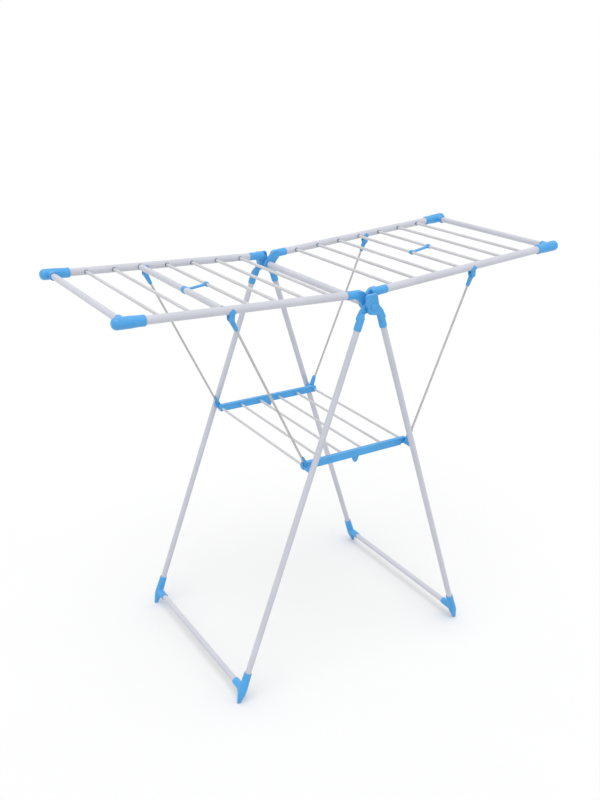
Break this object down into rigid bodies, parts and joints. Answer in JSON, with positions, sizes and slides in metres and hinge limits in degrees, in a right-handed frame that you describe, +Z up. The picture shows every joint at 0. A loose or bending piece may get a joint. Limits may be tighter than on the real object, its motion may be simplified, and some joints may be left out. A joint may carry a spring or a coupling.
{
  "type": "folding clothes drying rack",
  "caption": "Free-standing folding clothes airer: crossed tube legs, two drop-leaf wings of cross rods, wire props and a small lower shelf.",
  "frame": {"origin": "on the floor, under the middle of the hub axle", "axes": "+X towards the right wing, +Y towards the far end of the hub axle, +Z up"},
  "size_m": [1.3087, 0.5556, 1.1286],
  "materials": {
    "tube_coating": "satin powder coat",
    "rod_coating": "satin powder coat",
    "blue_plastic": "semi-gloss moulded plastic",
    "pin_steel": "plated"
  },
  "bodies": {
    "left_legs": {"left_leg_tube_near": "tube_coating", "left_leg_tube_far": "tube_coating", "left_floor_bar": "tube_coating", "left_foot_near": "blue_plastic", "left_foot_far": "blue_plastic", "left_leg_arm_near": "blue_plastic", "left_leg_arm_far": "blue_plastic", "left_leg_clip_near": "blue_plastic", "left_leg_clip_far": "blue_plastic", "axle_tube": "tube_coating", "hub_pin_near": "pin_steel", "hub_pin_far": "pin_steel", "shelf_pivot_pin_near": "pin_steel", "shelf_pivot_pin_far": "pin_steel"},
    "right_legs": {"right_leg_tube_near": "tube_coating", "right_leg_tube_far": "tube_coating", "right_floor_bar": "tube_coating", "right_foot_near": "blue_plastic", "right_foot_far": "blue_plastic", "right_leg_arm_near": "blue_plastic", "right_leg_arm_far": "blue_plastic", "right_leg_clip_near": "blue_plastic", "right_leg_clip_far": "blue_plastic"},
    "left_wing": {"left_wing_arm_near": "blue_plastic", "left_wing_arm_far": "blue_plastic", "left_side_tube_near": "tube_coating", "left_side_tube_far": "tube_coating", "left_corner_near": "blue_plastic", "left_corner_far": "blue_plastic", "left_stay_bracket_near": "blue_plastic", "left_stay_bracket_far": "blue_plastic", "left_end_tube": "tube_coating", "left_wing_rods": "rod_coating", "left_centre_link": "blue_plastic", "left_brace_tube": "tube_coating"},
    "right_wing": {"right_wing_arm_near": "blue_plastic", "right_wing_arm_far": "blue_plastic", "right_side_tube_near": "tube_coating", "right_side_tube_far": "tube_coating", "right_corner_near": "blue_plastic", "right_corner_far": "blue_plastic", "right_stay_bracket_near": "blue_plastic", "right_stay_bracket_far": "blue_plastic", "right_end_tube": "tube_coating", "right_wing_rods": "rod_coating", "right_centre_link": "blue_plastic"},
    "shelf": {"shelf_rail_near": "blue_plastic", "shelf_rail_far": "blue_plastic", "shelf_rods": "rod_coating"},
    "left_stay_near": {"left_stay_knuckle_near": "blue_plastic", "left_stay_rod_near": "rod_coating"},
    "left_stay_far": {"left_stay_knuckle_far": "blue_plastic", "left_stay_rod_far": "rod_coating"},
    "right_stay_near": {"right_stay_knuckle_near": "blue_plastic", "right_stay_rod_near": "rod_coating"},
    "right_stay_far": {"right_stay_knuckle_far": "blue_plastic", "right_stay_rod_far": "rod_coating"}
  },
  "joints": [
    {"name": "legs_fold", "type": "hinge", "parent": "left_legs", "child": "right_legs", "pos_m": [0, 0, 1.033], "axis": [0, 1, 0], "range_deg": [0, 34]},
    {"name": "left_wing_fold", "type": "hinge", "parent": "left_legs", "child": "left_wing", "pos_m": [0, 0, 1.033], "axis": [0, -1, 0], "range_deg": [0, 62]},
    {"name": "right_wing_fold", "type": "hinge", "parent": "right_legs", "child": "right_wing", "pos_m": [0, 0, 1.033], "axis": [0, 1, 0], "range_deg": [0, 64]},
    {"name": "shelf_fold", "type": "hinge", "parent": "left_legs", "child": "shelf", "pos_m": [-0.16134, 0, 0.624], "axis": [0, -1, 0], "range_deg": [0, 68]},
    {"name": "left_stay_swing_near", "type": "hinge", "parent": "left_wing", "child": "left_stay_near", "pos_m": [-0.37568, -0.238, 1.04634], "axis": [0, 1, 0], "range_deg": [0, 107.89]},
    {"name": "left_stay_swing_far", "type": "hinge", "parent": "left_wing", "child": "left_stay_far", "pos_m": [-0.37568, 0.238, 1.04634], "axis": [0, 1, 0], "range_deg": [0, 107.89]},
    {"name": "right_stay_swing_near", "type": "hinge", "parent": "right_wing", "child": "right_stay_near", "pos_m": [0.34338, -0.238, 1.06655], "axis": [0, -1, 0], "range_deg": [0, 105.35]},
    {"name": "right_stay_swing_far", "type": "hinge", "parent": "right_wing", "child": "right_stay_far", "pos_m": [0.34338, 0.238, 1.06655], "axis": [0, -1, 0], "range_deg": [0, 105.35]}
  ],
  "couplings": [
    {"joint": "shelf_fold", "follows": "legs_fold", "ratio": 2},
    {"joint": "left_stay_swing_near", "follows": "left_wing_fold", "ratio": 1.74},
    {"joint": "left_stay_swing_far", "follows": "left_wing_fold", "ratio": 1.74},
    {"joint": "right_stay_swing_near", "follows": "right_wing_fold", "ratio": 1.646},
    {"joint": "right_stay_swing_far", "follows": "right_wing_fold", "ratio": 1.646}
  ]
}
